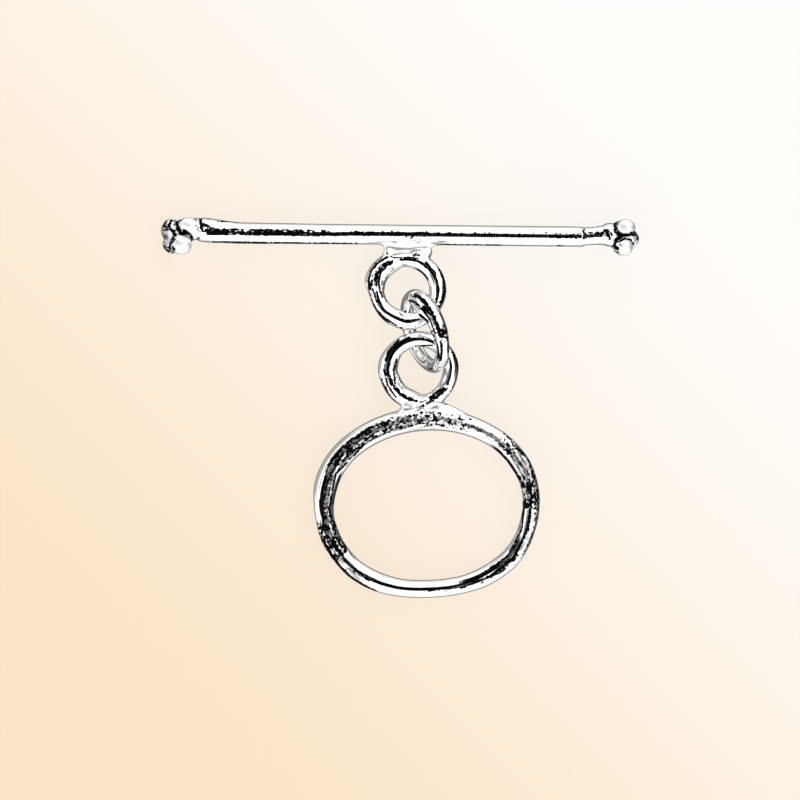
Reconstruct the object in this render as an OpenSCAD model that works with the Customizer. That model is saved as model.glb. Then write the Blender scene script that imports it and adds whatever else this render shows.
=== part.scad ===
// Toggle clasp: a bar with a cluster of small balls at each end, and an oval ring.
// Each has a wire loop soldered on, and one jump ring links the two loops.
// It lies flat as it would on a table: x runs along the bar, y from the ring to the bar, z up.

/* [Bar] */
// Distance between the middles of the two flared rod ends
rod_len = 25.4; // [20:0.1:34]
// Diameter of the rod
rod_d = 1.25; // [1.1:0.05:1.6]
// Diameter of the flared rod ends
flare_d = 1.5; // [1.3:0.05:1.8]
// Angle by which each rod end bends away from the loop
end_bend = 4.6; // [0:0.2:8]
// Diameter of the small balls in the end clusters
ball_d = 1.24; // [1.1:0.02:1.5]
// Turn of the bar on the table, seen from above
bar_turn = -0.6; // [-3:0.1:3]

/* [Bar loop] */
// Inner diameter of the bar's loop
bar_loop_inner_d = 3; // [2.8:0.05:3.6]
// Wire diameter of the bar's loop
bar_loop_wire_d = 0.94; // [0.8:0.02:1.06]
// Gap between the rod and the bar's loop, which the solder fills
solder_gap = 0.44; // [0.2:0.02:0.8]
// Width of the bar's solder at its narrowest
bar_solder_w = 3.1; // [2:0.1:3.4]
// Radius of the hollow at each side of the bar's solder
bar_solder_r = 1.16; // [0.9:0.02:1.3]

/* [Oval ring] */
// Width of the opening in the oval ring
opening_w = 11.75; // [10.5:0.05:15]
// Height of the opening in the oval ring
opening_h = 9.4; // [9:0.05:10.4]
// Radius of the opening at its two narrow ends
opening_end_r = 4.15; // [3.6:0.05:4.3]
// Wire diameter of the oval ring
ring_wire_d = 1.22; // [1:0.02:1.5]
// Turn of the oval ring on the table, seen from above
ring_turn = 3.2; // [-4:0.1:6]

/* [Ring loop] */
// Inner diameter of the ring's loop
ring_loop_inner_d = 3; // [2.8:0.05:3.6]
// Wire diameter of the ring's loop
ring_loop_wire_d = 0.97; // [0.8:0.01:1.06]
// Depth by which the ring's loop is melted into the oval wire
ring_loop_sink = 0.06; // [0.02:0.01:0.2]
// Reach of the ring's solder to the left of the loop's middle
ring_solder_left = 1.15; // [0.8:0.05:1.6]
// Reach of the ring's solder to the right of the loop's middle
ring_solder_right = 1.6; // [1.2:0.05:2]
// Radius of the hollow at each side of the ring's solder
ring_solder_r = 0.42; // [0.35:0.01:0.6]

/* [Solder] */
// Thickness of both solder webs, measured through the flat of the clasp
solder_thick = 0.66; // [0.4:0.02:0.74]

/* [Jump ring] */
// Inner diameter of the jump ring
link_inner_d = 3.67; // [3.6:0.01:4.4]
// Wire diameter of the jump ring
link_wire_d = 0.87; // [0.7:0.01:0.95]
// Width of the cut where the jump ring was closed
link_cut = 0.07; // [0.05:0.01:0.12]
// Place of the cut, counted from the end of the ring that points to the bar
link_cut_at = 102; // [80:1:130]
// Direction of the jump ring on the table, seen from above
link_dir = 108.5; // [100:0.5:118]
// Angle at which the jump ring stands on the table
link_lean = 67.4; // [62:0.2:74]

/* [How the loops lie in the jump ring] */
// Play between the jump ring and each loop, with room for the slant of the wires
nest_play = 0.13; // [0.12:0.01:0.2]
// Gap between the two loops inside the jump ring, with the same room
loops_gap = 0.25; // [0.2:0.01:0.32]
// Angle of the pair of loops from the foot of the jump ring
nest_turn = -12.1; // [-16:0.1:-8]
// Angle from the far point of the bar's loop to where it meets the jump ring
bar_pull = 16.8; // [10:0.2:22]
// Angle from the far point of the ring's loop to where it meets the jump ring
ring_pull = 3.6; // [-4:0.1:8]

/* [Hidden] */
$fn = 96;

// Rod ends, one row each. Columns: side, length of the neck in rod diameters,
// diameter of the neck in rod diameters, length of the flare in rod diameters
ENDS = [
    [-1, 1.8, 0.96, 1.6],
    [ 1, 1.4, 0.90, 0.5]
];
SIDE = 0;
NECK_L = 1;
NECK_D = 2;
FLARE_L = 3;
// Depth by which a neck is sunk into the rod, so that the bend leaves no gap
neck_sink = rod_d * 0.12;
// A flare's cone starts a hair thinner than the neck and ends a hair thinner than the round end
cone_start = 0.98;
cone_end = 0.97;

// Balls of the two clusters, one row each, in ball radii from the middle of the flared end.
// Columns: outward along the rod, across the rod away from the loop, up
BALLS_LEFT = [
    [1.62,  0.24,  0.50],
    [2.18, -1.60,  0.45],
    [3.42, -0.15,  0.20],
    [3.27, -1.50, -1.00]
];
BALLS_RIGHT = [
    [1.57,  0.70,  0.42],
    [1.26, -1.08,  0.42],
    [2.03, -0.48, -1.00],
    [0.35, -0.40, -1.00]
];
OUT = 0;
ACROSS = 1;
UP = 2;

// Radii of the wires and of their middle lines
ball_r = ball_d / 2;
link_wire_r = link_wire_d / 2;
link_r = link_inner_d / 2 + link_wire_r;
bar_loop_wire_r = bar_loop_wire_d / 2;
bar_loop_r = bar_loop_inner_d / 2 + bar_loop_wire_r;
ring_loop_wire_r = ring_loop_wire_d / 2;
ring_loop_r = ring_loop_inner_d / 2 + ring_loop_wire_r;
ring_wire_r = ring_wire_d / 2;

// Middle line of the oval: half width, half height, radius of the ends and of the flanks
oval_a = opening_w / 2 + ring_wire_r;
oval_b = opening_h / 2 + ring_wire_r;
oval_end_r = opening_end_r + ring_wire_r;
oval_flank_r = (oval_a^2 + oval_b^2 - 2 * oval_a * oval_end_r) / (2 * (oval_b - oval_end_r));
// Half angle of an end arc
oval_end_turn = atan2(oval_flank_r - oval_b, oval_a - oval_end_r);
// A ball closes each joint of the arcs, a hair wider than the wire
joint_r = ring_wire_r * 1.01;

// Each solder web ends inside the loop's wire, this many loop radii from the loop's middle
bar_web_end = 0.42;
ring_web_end = 0.6;
// Height of the hollows in the ring's solder, from the middle line of the oval
ring_hollow_at = ring_wire_r + ring_loop_wire_r / 3;

// Distance of each loop's middle from the middle of the rod or of the oval
bar_loop_at = rod_d / 2 + solder_gap + bar_loop_wire_r + bar_loop_r;
ring_loop_at = oval_b + ring_wire_r + ring_loop_wire_r + ring_loop_r - ring_loop_sink;

// The jump ring stands on the table. Its own axes: u along its long direction, v up its slope
link_mid = [0, 0, link_r * sin(link_lean) + link_wire_r];
link_u = [cos(link_dir), sin(link_dir), 0];
link_v = [sin(link_dir) * cos(link_lean), -cos(link_dir) * cos(link_lean), sin(link_lean)];

// Where the two loops pass through the jump ring
nest_r = link_r - link_wire_r - max(bar_loop_wire_r, ring_loop_wire_r) - nest_play;
nest_spread = asin((bar_loop_wire_r + ring_loop_wire_r + loops_gap) / 2 / nest_r);
function nest_point(turn) =
    link_mid - nest_r * sin(turn) * link_u - nest_r * cos(turn) * link_v;
bar_meet = nest_point(nest_turn - nest_spread);
ring_meet = nest_point(nest_turn + nest_spread);

// A point of a flat piece after the piece is tilted about its own x and turned on the table
function laid(p, tilt, turn) =
    let (y = p.y * cos(tilt) - p.z * sin(tilt), z = p.y * sin(tilt) + p.z * cos(tilt))
    [p.x * cos(turn) - y * sin(turn), p.x * sin(turn) + y * cos(turn), z];

// The bar rests on its lowest balls and its loop rests in the jump ring
bar_z = ball_r * (1 - min([for (b = concat(BALLS_LEFT, BALLS_RIGHT)) b[UP]]));
bar_meet_own = [bar_loop_r * sin(bar_pull), -bar_loop_at - bar_loop_r * cos(bar_pull), 0];
bar_tilt = asin((bar_meet.z - bar_z) / bar_meet_own.y);
bar_at = bar_meet - laid(bar_meet_own, bar_tilt, bar_turn);

// The ring rests on its far edge and its loop rests in the jump ring
ring_meet_own = [ring_loop_r * sin(ring_pull), ring_loop_at + ring_loop_r * cos(ring_pull), 0];
ring_tilt = asin((ring_meet.z - ring_wire_r) / (ring_meet_own.y + oval_b));
ring_at = ring_meet - laid(ring_meet_own, ring_tilt, ring_turn);

// Middle of a flared end, and of a ball beside it, in the bar's own axes
function neck_at(end) = end[SIDE] * (rod_len / 2 - end[NECK_L] * rod_d);
function flare_at(end) =
    [neck_at(end) + end[SIDE] * end[NECK_L] * rod_d * cos(end_bend),
     end[NECK_L] * rod_d * sin(end_bend), 0];
function ball_at(end, ball) =
    flare_at(end) + ball_r * [end[SIDE] * ball[OUT], ball[ACROSS], 0];

// Middle of each ball, seen from above
ball_spots = concat(
    [for (b = BALLS_LEFT) bar_at + laid(ball_at(ENDS[0], b), 0, bar_turn)],
    [for (b = BALLS_RIGHT) bar_at + laid(ball_at(ENDS[1], b), 0, bar_turn)]
);

// The foot of the whole clasp is centred on the origin
left_tip = min([for (p = ball_spots) p.x]) - ball_r;
right_tip = max([for (p = ball_spots) p.x]) + ball_r;
top_tip = max([for (p = ball_spots) p.y]) + ball_r;
ring_reach = oval_flank_r - (oval_flank_r - oval_b) * cos(ring_turn) + ring_wire_r;
bottom_tip = ring_at.y - ring_reach * cos(ring_tilt);
centred = [-(left_tip + right_tip) / 2, -(top_tip + bottom_tip) / 2, 0];

// A round wire bent to an arc about z
module wire_arc(arc_r, wire_r, from, turn) {
    rotate([0, 0, from])
        rotate_extrude(angle = turn)
            translate([arc_r, 0])
                circle(r = wire_r);
}

// A closed round loop of wire
module wire_loop(loop_r, wire_r) {
    rotate_extrude()
        translate([loop_r, 0])
            circle(r = wire_r);
}

// Solder between a wire along x and a loop whose middle is at y = loop_at.
// It reaches to left and right, and a hollow of radius hollow_r draws in each side.
module solder_web(left, right, hollow_r, hollow_y, top, loop_r, loop_at) {
    translate([0, 0, -solder_thick / 2])
        linear_extrude(solder_thick)
            difference() {
                translate([-left - hollow_r / 2, 0])
                    square([left + right + hollow_r, top]);
                translate([-left - hollow_r, hollow_y])
                    circle(r = hollow_r);
                translate([right + hollow_r, hollow_y])
                    circle(r = hollow_r);
                translate([0, loop_at])
                    circle(r = loop_r);
            }
}

// One end of the rod: a neck that opens into a flare, bent a little, with its balls
module rod_end(end, balls) {
    neck_r = end[NECK_D] * rod_d / 2;
    neck_l = end[NECK_L] * rod_d;
    flare_l = end[FLARE_L] * rod_d;
    translate([neck_at(end), 0, 0])
        rotate([0, 0, end[SIDE] * end_bend])
            rotate([0, end[SIDE] * 90, 0]) {
                translate([0, 0, -neck_sink])
                    cylinder(r = neck_r, h = neck_sink + neck_l);
                translate([0, 0, neck_l - flare_l])
                    cylinder(r1 = neck_r * cone_start, r2 = flare_d / 2 * cone_end, h = flare_l);
                translate([0, 0, neck_l])
                    sphere(d = flare_d);
            }
    // The balls keep their height when the bar tilts. Each ball's poles lie along the rod, and
    // its surface closes on the side away from the other balls: above on a high one, else below
    rotate([-bar_tilt, 0, 0])
        for (ball = balls)
            translate(ball_at(end, ball) + [0, 0, ball_r * ball[UP]])
                rotate([0, ball[UP] > 0 ? -90 : 90, 0])
                    sphere(r = ball_r);
}

// Rod with its two ends, in the bar's own axes
module rod() {
    translate([neck_at(ENDS[0]), 0, 0])
        rotate([0, 90, 0])
            cylinder(d = rod_d, h = neck_at(ENDS[1]) - neck_at(ENDS[0]));
    rod_end(ENDS[0], BALLS_LEFT);
    rod_end(ENDS[1], BALLS_RIGHT);
}

// Loop below the rod, with its solder
module bar_loop() {
    translate([0, -bar_loop_at, 0])
        wire_loop(bar_loop_r, bar_loop_wire_r);
    mirror([0, 1, 0])
        solder_web(
            left = bar_solder_w / 2,
            right = bar_solder_w / 2,
            hollow_r = bar_solder_r,
            hollow_y = rod_d / 2 + solder_gap,
            top = bar_loop_at - bar_loop_r * bar_web_end,
            loop_r = bar_loop_r,
            loop_at = bar_loop_at
        );
}

// Oval wire in the ring's own axes: two end arcs and two flank arcs, each tangent to the next
module oval_wire() {
    for (side = [0, 180])
        rotate([0, 0, side]) {
            translate([oval_a - oval_end_r, 0, 0])
                wire_arc(oval_end_r, ring_wire_r, -oval_end_turn, 2 * oval_end_turn);
            translate([0, oval_b - oval_flank_r, 0])
                wire_arc(oval_flank_r, ring_wire_r, oval_end_turn, 180 - 2 * oval_end_turn);
            for (up = [-1, 1])
                translate([oval_a - oval_end_r, 0, 0])
                    rotate([90, 0, up * oval_end_turn])
                        translate([oval_end_r, 0, 0])
                            sphere(r = joint_r);
        }
}

// Loop above the oval, with its solder
module ring_loop() {
    translate([0, ring_loop_at, 0])
        wire_loop(ring_loop_r, ring_loop_wire_r);
    translate([0, oval_b, 0])
        solder_web(
            left = ring_solder_left,
            right = ring_solder_right,
            hollow_r = ring_solder_r,
            hollow_y = ring_hollow_at,
            top = ring_loop_at - oval_b - ring_loop_r * ring_web_end,
            loop_r = ring_loop_r,
            loop_at = ring_loop_at - oval_b
        );
}

module toggle_bar() {
    color("silver")
        translate(centred + bar_at)
            rotate([bar_tilt, 0, bar_turn]) {
                rod();
                bar_loop();
            }
}

module connecting_link() {
    cut_turn = 2 * asin(link_cut / 2 / (link_r - link_wire_r));
    color("gainsboro")
        translate(centred + link_mid)
            rotate([-link_lean, 0, link_dir])
                mirror([0, 1, 0])
                    wire_arc(link_r, link_wire_r, link_cut_at + cut_turn / 2, 360 - cut_turn);
}

module toggle_ring() {
    color("silver")
        translate(centred + ring_at)
            rotate([ring_tilt, 0, ring_turn]) {
                oval_wire();
                ring_loop();
            }
}

toggle_bar();
connecting_link();
toggle_ring();
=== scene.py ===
import math
from types import SimpleNamespace

import bpy
import numpy as np
from bpy.props import FloatProperty, FloatVectorProperty, PointerProperty
from bpy.types import NodeSocket, Operator, Panel, PropertyGroup, Scene
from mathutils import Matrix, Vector


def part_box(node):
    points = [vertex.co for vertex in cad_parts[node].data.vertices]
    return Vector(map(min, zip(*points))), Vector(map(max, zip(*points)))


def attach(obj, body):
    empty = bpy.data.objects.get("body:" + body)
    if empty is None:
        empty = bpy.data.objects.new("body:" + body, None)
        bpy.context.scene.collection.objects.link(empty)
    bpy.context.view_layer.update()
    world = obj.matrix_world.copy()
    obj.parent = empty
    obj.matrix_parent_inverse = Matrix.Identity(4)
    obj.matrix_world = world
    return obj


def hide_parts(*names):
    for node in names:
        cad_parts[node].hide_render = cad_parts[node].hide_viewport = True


bl_info = {
    "name": "Toggle Clasp",
    "version": (1, 0, 0),
    "blender": (4, 5, 0),
    "location": "View3D > Sidebar > Toggle Clasp",
    "description": "A hand-made silver toggle clasp: bar, jump ring and oval ring, on a pale table",
    "category": "Add Mesh",
}

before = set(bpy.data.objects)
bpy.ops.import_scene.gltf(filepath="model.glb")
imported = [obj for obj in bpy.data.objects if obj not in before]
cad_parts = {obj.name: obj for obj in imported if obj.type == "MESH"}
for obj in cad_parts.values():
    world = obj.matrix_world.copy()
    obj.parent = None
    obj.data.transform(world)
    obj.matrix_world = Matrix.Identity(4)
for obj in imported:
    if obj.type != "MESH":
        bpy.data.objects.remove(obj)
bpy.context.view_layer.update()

# One millimetre in Blender's metres. Pieces are modelled with one unit to the millimetre,
# because voxels and fillets this small are below what the tools take in metres,
# and are brought to real size when they are finished.
MM = 0.001


def node_box(node):
    """Lowest and highest corner of a node of the frame, in millimetres."""
    low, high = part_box(node)
    return low / MM, high / MM


LINK_LOW, LINK_HIGH = node_box("connecting_link")
RING_LOW, RING_HIGH = node_box("toggle_ring")
BAR_LOW, BAR_HIGH = node_box("toggle_bar")


def length(name, description, in_mm):
    return FloatProperty(name=name, description=description, default=in_mm * MM, unit="LENGTH", precision=5)


def angle(name, description, degrees):
    return FloatProperty(name=name, description=description, default=math.radians(degrees), subtype="ANGLE")


def share(name, description, value):
    return FloatProperty(name=name, description=description, default=value, min=0, max=1, subtype="FACTOR")


def colour(name, description, value):
    return FloatVectorProperty(
        name=name, description=description, default=value, size=3, min=0, max=1, subtype="COLOR"
    )


class ClaspBarSizes(PropertyGroup):
    rod_length: length("Rod length", "Distance between the middles of the flared rod ends", 25.4)
    rod_width: length("Rod diameter", "Diameter of the plain rod", 1.25)
    flare_width: length("Flare diameter", "Diameter of the flared rod ends", 1.5)
    end_bend: angle("End bend", "Angle by which each rod end bends away from the loop", 4.6)
    ball_width: length("Ball diameter", "Diameter of the small balls in the end clusters", 1.24)
    loop_inside: length("Loop inside", "Inner diameter of the bar's loop", 3)
    loop_wire: length("Loop wire", "Wire diameter of the bar's loop", 0.94)
    loop_gap: length("Solder gap", "Gap between rod and loop, which the solder fills", 0.44)
    solder_width: length("Solder width", "Width of the solder between rod and loop", 3.1)
    tilt: angle("Tilt", "Angle at which the bar's loop is raised on the jump ring", -4.785)
    turn: angle("Turn", "Turn of the bar on the table, seen from above", -0.6)


class ClaspLinkSizes(PropertyGroup):
    inside: length("Inside", "Inner diameter of the jump ring", 3.67)
    wire: length("Wire", "Wire diameter of the jump ring", 0.87)
    cut: length("Cut", "Width of the cut where the jump ring was closed", 0.07)
    cut_at: angle("Cut at", "Place of the cut, counted from the end that points to the bar", 102)
    direction: angle("Direction", "Direction of the jump ring on the table, seen from above", 108.5)
    lean: angle("Lean", "Angle at which the jump ring stands on the table", 67.4)


class ClaspRingSizes(PropertyGroup):
    opening_width: length("Opening width", "Width of the opening in the oval ring", 11.75)
    opening_height: length("Opening height", "Height of the opening in the oval ring", 9.4)
    opening_end: length("End radius", "Radius of the opening at its two narrow ends", 4.15)
    wire: length("Wire", "Wire diameter of the oval ring", 1.22)
    loop_inside: length("Loop inside", "Inner diameter of the ring's loop", 3)
    loop_wire: length("Loop wire", "Wire diameter of the ring's loop", 0.97)
    loop_sink: length("Loop sink", "Depth by which the loop is melted into the oval wire", 0.06)
    tilt: angle("Tilt", "Angle at which the ring's loop is raised on the jump ring", 3.106)
    turn: angle("Turn", "Turn of the oval ring on the table, seen from above", 3.2)


class ClaspFinish(PropertyGroup):
    silver: colour("Silver", "Colour of the polished silver", (0.975, 0.972, 0.965))
    # This black is also the colour of the dark lines painted as reflections
    tarnish_and_painted_reflection: colour("Tarnish", "Colour of the tarnish in the recesses", (0.004, 0.004, 0.004))
    polish: share("Roughness", "Roughness of the polished wire", 0.07)
    solder_roughness: share("Solder roughness", "Roughness of the solder", 0.36)
    frost: share("Frost", "Roughness of the frosted balls at the ends", 0.55)
    voxel: length("Voxel", "Size of the voxels that fuse wires, balls and solder", 0.055)


class ClaspStage(PropertyGroup):
    table_near: colour("Table, lower left", "Colour of the table at the lower left", (0.97, 0.79, 0.585))
    table_far: colour("Table, upper right", "Colour of the table at the upper right", (1.0, 0.985, 0.96))
    tent: FloatProperty(name="Tent", description="Brightness of the light tent", default=1.6, min=0)
    lens: FloatProperty(name="Lens", description="Focal length of the camera, in mm", default=150, min=1)
    view_width: length("View width", "Width of what the camera sees at the height of the rod", 50)
    aim_above: length("Aim", "Distance of the camera's aim from the clasp's middle, towards the bar", 0.5)


def own_properties(group):
    return [prop for prop in group.bl_rna.properties if prop.identifier not in ("rna_type", "name")]


def millimetres(group):
    """The values of a property group by name, with its lengths in millimetres."""
    values = {}
    for prop in own_properties(group):
        value = getattr(group, prop.identifier)
        values[prop.identifier] = value / MM if prop.unit == "LENGTH" else value
    return SimpleNamespace(**values)


# Selecting and editing


def rest():
    """Leaves edit mode and deselects everything."""
    if bpy.context.active_object and bpy.context.active_object.mode != "OBJECT":
        bpy.ops.object.mode_set(mode="OBJECT")
    bpy.ops.object.select_all(action="DESELECT")


def pick(*objects):
    """Makes these objects the selection, the first one active."""
    rest()
    for obj in objects:
        obj.select_set(True)
    bpy.context.view_layer.objects.active = objects[0]
    return objects[0]


def added():
    """The primitive that was just added, with its place moved into its mesh."""
    obj = bpy.context.active_object
    bpy.ops.object.transform_apply(location=True, rotation=True, scale=True)
    return obj


def edit(obj, face_test=None):
    """Opens obj in edit mode with all faces selected, or those whose middle and normal pass the test."""
    pick(obj)
    bpy.ops.object.mode_set(mode="EDIT")
    bpy.ops.mesh.select_mode(type="FACE")
    bpy.ops.mesh.select_all(action="SELECT" if face_test is None else "DESELECT")
    if face_test is not None:
        bpy.ops.object.mode_set(mode="OBJECT")
        for face in obj.data.polygons:
            face.select = bool(face_test(face.center, face.normal))
        bpy.ops.object.mode_set(mode="EDIT")


def modify(obj, kind, **settings):
    """Adds a modifier, sets it and applies it."""
    pick(obj)
    modifier = obj.modifiers.new(kind.lower(), kind)
    for name, value in settings.items():
        setattr(modifier, name, value)
    bpy.ops.object.modifier_apply(modifier=modifier.name)


def merge_doubles(threshold):
    """Closes the seams of the mesh in edit mode, turns its faces outwards and leaves edit mode."""
    bpy.ops.mesh.select_all(action="SELECT")
    bpy.ops.mesh.remove_doubles(threshold=threshold)
    bpy.ops.mesh.normals_make_consistent(inside=False)
    rest()


def join(parts, name):
    obj = pick(*parts)
    bpy.ops.object.join()
    obj.name = obj.data.name = name
    return obj


# Points and weights


def places(obj, kind="co"):
    """The places of obj's vertices, or their normals, as an array with a row each."""
    vectors = np.zeros(len(obj.data.vertices) * 3, np.float32)
    obj.data.vertices.foreach_get(kind, vectors)
    return vectors.reshape(-1, 3).astype(float)


def hat(distance, full, none):
    """1 up to full, 0 from none on, and smooth in between."""
    t = np.clip((none - np.abs(distance)) / (none - full), 0, 1)
    return t * t * (3 - 2 * t)


def rise(values, start, over):
    """0 up to start, 1 once the values are past it by over, and even in between."""
    return np.clip((values - start) / over, 0, 1)


def most(*values):
    """The highest of these values at each vertex."""
    return np.maximum.reduce(values)


def around(co, middle=(0, 0)):
    """Angle of each point round a middle, in degrees, with 0 at +x and 90 at +y."""
    return np.degrees(np.arctan2(co[:, 1] - middle[1], co[:, 0] - middle[0])) % 360


def heading(degrees):
    """The direction (x, y) of an angle in degrees, with 0 at +x and 90 at +y."""
    return math.cos(math.radians(degrees)), math.sin(math.radians(degrees))


def sector(angles, at, full, none):
    """1 within full degrees of the angle at, 0 beyond none degrees, and smooth in between."""
    return hat((angles - at + 180) % 360 - 180, full, none)


def near_segment(co, start, end):
    """Distance of each point from a straight line between two points."""
    start, end = np.array(start, float), np.array(end, float)
    along = end - start
    t = np.clip((co - start) @ along / max(along @ along, 1e-12), 0, 1)
    return np.linalg.norm(co - start - t[:, None] * along, axis=1)


def attribute(obj, name, values):
    """Writes a value for each vertex, under a name that materials can read."""
    layer = obj.data.attributes.get(name) or obj.data.attributes.new(name, "FLOAT", "POINT")
    layer.data.foreach_set("value", np.ascontiguousarray(values, np.float32))
    return layer


def finish_marks(obj, wire, solder, frost, stain_and_painted_reflection, film_and_painted_shade, dirt=1):
    """Writes what the silver's finish depends on. The wire is each vertex's length along its wire and
    its distance round it, in millimetres. Dirt is the share of the black that recesses keep."""
    # Besides real stains and cracks, the stain holds dark lines painted as reflections of dark
    # surroundings, and the haze holds grey painted as shade over a grey tarnish film
    marks = {"film_and_painted_shade": film_and_painted_shade, "solder": solder, "frost": frost, "stain_and_painted_reflection": stain_and_painted_reflection, "recess": recesses(obj) * dirt}
    for name, values in marks.items():
        attribute(obj, name, values)
    layer = obj.data.attributes.new("wire", "FLOAT_VECTOR", "POINT")
    vectors = np.stack([*wire, np.zeros(len(stain_and_painted_reflection))], axis=1)
    layer.data.foreach_set("vector", np.ascontiguousarray(vectors, np.float32).ravel())


# Radii at which the distance round a rod's and a loop's wire is measured, in millimetres
ROD_SKIN, LOOP_SKIN = 0.6, 0.5


def round_loop(co, middle_y, loop_radius):
    """Length along a loop's wire and distance round it, for points near the loop."""
    out = np.hypot(co[:, 0], co[:, 1] - middle_y) - loop_radius
    return np.radians(around(co, (0, middle_y))) * loop_radius, np.arctan2(co[:, 2], out) * LOOP_SKIN


def weigh(obj, values):
    """Gives obj one vertex group with these weights and returns its name."""
    pick(obj)
    obj.vertex_groups.clear()
    obj.data.attributes.active = attribute(obj, "weight", np.clip(values, 0, 1))
    bpy.ops.geometry.attribute_convert(mode="VERTEX_GROUP")
    return obj.vertex_groups[0].name


# Shaping


def add_ball(middle, radius, squash=(1, 1, 1), turn=0.0):
    """A hand-melted ball: a sphere pressed a little out of round and turned about z."""
    bpy.ops.mesh.primitive_uv_sphere_add(segments=40, ring_count=20, radius=radius, location=middle)
    obj = added()
    edit(obj)
    bpy.ops.transform.resize(value=squash, center_override=middle)
    bpy.ops.transform.rotate(value=turn, orient_axis="Z", center_override=middle)
    rest()
    return obj


def add_drops(drops):
    """Drops of solder, from a table of their middles, half widths and turns in degrees."""
    return [add_ball(middle, 1, widths, math.radians(turn)) for middle, widths, turn in drops]


def add_slab(middle, size, rounding):
    """A block with rounded edges, for solder."""
    bpy.ops.mesh.primitive_cube_add(size=1, location=middle)
    obj = added()
    edit(obj)
    bpy.ops.transform.resize(value=size, center_override=middle)
    bpy.ops.mesh.bevel(offset=rounding, segments=3)
    rest()
    return obj


def thicken(obj, values, reach):
    """Moves the surface out along its normals, less where the values are below 1."""
    modify(obj, "DISPLACE", strength=reach, mid_level=0, vertex_group=weigh(obj, values))


def push(obj, values, way):
    """Moves the surface along a vector, less where the values are below 1."""
    group = weigh(obj, values)
    for axis, reach in zip("XYZ", way):
        if reach:
            modify(obj, "DISPLACE", direction=axis, strength=reach, mid_level=0, vertex_group=group)


def add_loop(middle_y, loop_radius, wire_radius, thick, bent):
    """A loop of wire, hammered thicker and bent in places. What is bent is all of the wire there, its
    outer half or the upper part of that half."""
    bpy.ops.mesh.primitive_torus_add(
        location=(0, middle_y, 0),
        major_radius=loop_radius,
        minor_radius=wire_radius,
        major_segments=144,
        minor_segments=36,
    )
    loop = added()
    angles = around(places(loop), (0, middle_y))
    for at, full, none, more in thick:
        thicken(loop, sector(angles, at, full, none), more)
    co = places(loop)
    outer = rise(np.hypot(co[:, 0], co[:, 1] - middle_y), loop_radius, wire_radius)
    parts = {"all": 1, "outer": outer, "upper": outer * rise(co[:, 2], 0, 0.3)}
    for part, at, full, none, way in bent:
        push(loop, sector(angles, at, full, none) * parts[part], way)
    return loop


# How much each round of smoothing evens out, how many rounds a fused skin gets, and how far it
# then grows back, in millimetres
EVENING, SKIN_ROUNDS, SKIN_GROWTH = 0.5, 3, 0.012


def fuse(obj, voxel):
    """Fuses what overlaps in obj to one closed skin, as wide as it was."""
    modify(obj, "REMESH", mode="VOXEL", voxel_size=voxel, use_smooth_shade=True)
    modify(obj, "SMOOTH", factor=EVENING, iterations=SKIN_ROUNDS)
    modify(obj, "DISPLACE", strength=SKIN_GROWTH, mid_level=0)


def melt(obj, values, rounds):
    """Lets corners flow together like solder, where the values are high."""
    modify(obj, "SMOOTH", factor=EVENING, iterations=rounds, vertex_group=weigh(obj, values))


def roughen(obj, name, size, octaves, depth, values):
    """Presses a cloudy texture into the surface by up to depth."""
    texture = bpy.data.textures.get(name) or bpy.data.textures.new(name, "CLOUDS")
    texture.noise_scale = size
    texture.noise_depth = octaves
    modify(
        obj, "DISPLACE", texture=texture, texture_coords="LOCAL", strength=depth, mid_level=0.7,
        vertex_group=weigh(obj, values),
    )


def hammer(obj, values):
    """Leaves the wide, shallow waves of hammering."""
    roughen(obj, "waves", size=1.6, octaves=1, depth=0.03, values=values)


def pit(obj, values, depth):
    """Leaves small pits and bumps."""
    roughen(obj, "bumps", size=0.18, octaves=2, depth=depth, values=values)


# Narrow and wide recesses: rounds of evening that pass over them, and the depth in millimetres below
# the evened surface at which each begins to hold dirt and is full of it
RECESSES = [(8, 0.006, 0.03), (50, 0.015, 0.07)]


def recesses(obj):
    """How much dirt each vertex holds, from 0 to 1, by how deep it lies in a recess."""
    co = places(obj)
    edges = np.zeros(len(obj.data.edges) * 2, np.int32)
    obj.data.edges.foreach_get("vertices", edges)
    a, b = edges.reshape(-1, 2).T
    count = np.bincount(a, minlength=len(co)) + np.bincount(b, minlength=len(co))
    mean = co.copy()
    dirt = np.zeros(len(co))
    for rounds, begins, full in RECESSES:
        for _ in range(rounds):
            total = [
                np.bincount(a, mean[b, axis], len(co)) + np.bincount(b, mean[a, axis], len(co))
                for axis in range(3)
            ]
            mean = np.stack(total, axis=1) / np.maximum(count, 1)[:, None]
        hollow = np.einsum("ij,ij->i", mean - co, places(obj, "normal"))
        dirt = np.maximum(dirt, rise(hollow, begins, full - begins))
    return dirt


def near_line(co, points):
    """Distance of each point, seen from above, from the line through some points (x, y)."""
    flat = co * (1, 1, 0)
    return np.min([near_segment(flat, (*a, 0), (*b, 0)) for a, b in zip(points, points[1:])], axis=0)


def crease(obj, creases, lowest=0):
    """Presses lines into obj above a height and returns their stain. Each has its depth, half width,
    darkness and points (x, y)."""
    stain_and_painted_reflection = np.zeros(len(obj.data.vertices))
    for depth, width, darkness, points in creases:
        co = places(obj)
        near = hat(near_line(co, points), width * 0.3, width) * (co[:, 2] > lowest)
        push(obj, near, (0, 0, -depth))
        stain_and_painted_reflection = np.maximum(stain_and_painted_reflection, darkness * near)
    return stain_and_painted_reflection


def draw_lines(co, lines, place=None):
    """Darkness of lines painted on the upper side, each with its darkness, half width and points; these
    lines paint dark reflections and grey shade. A place turns their points to (x, y)."""
    stain_and_painted_reflection = np.zeros(len(co))
    for darkness, width, points in lines:
        near = near_line(co, [place(*point) for point in points] if place else points)
        stain_and_painted_reflection = np.maximum(stain_and_painted_reflection, darkness * hat(near, width * 0.4, width))
    return stain_and_painted_reflection * (co[:, 2] > 0)


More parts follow.
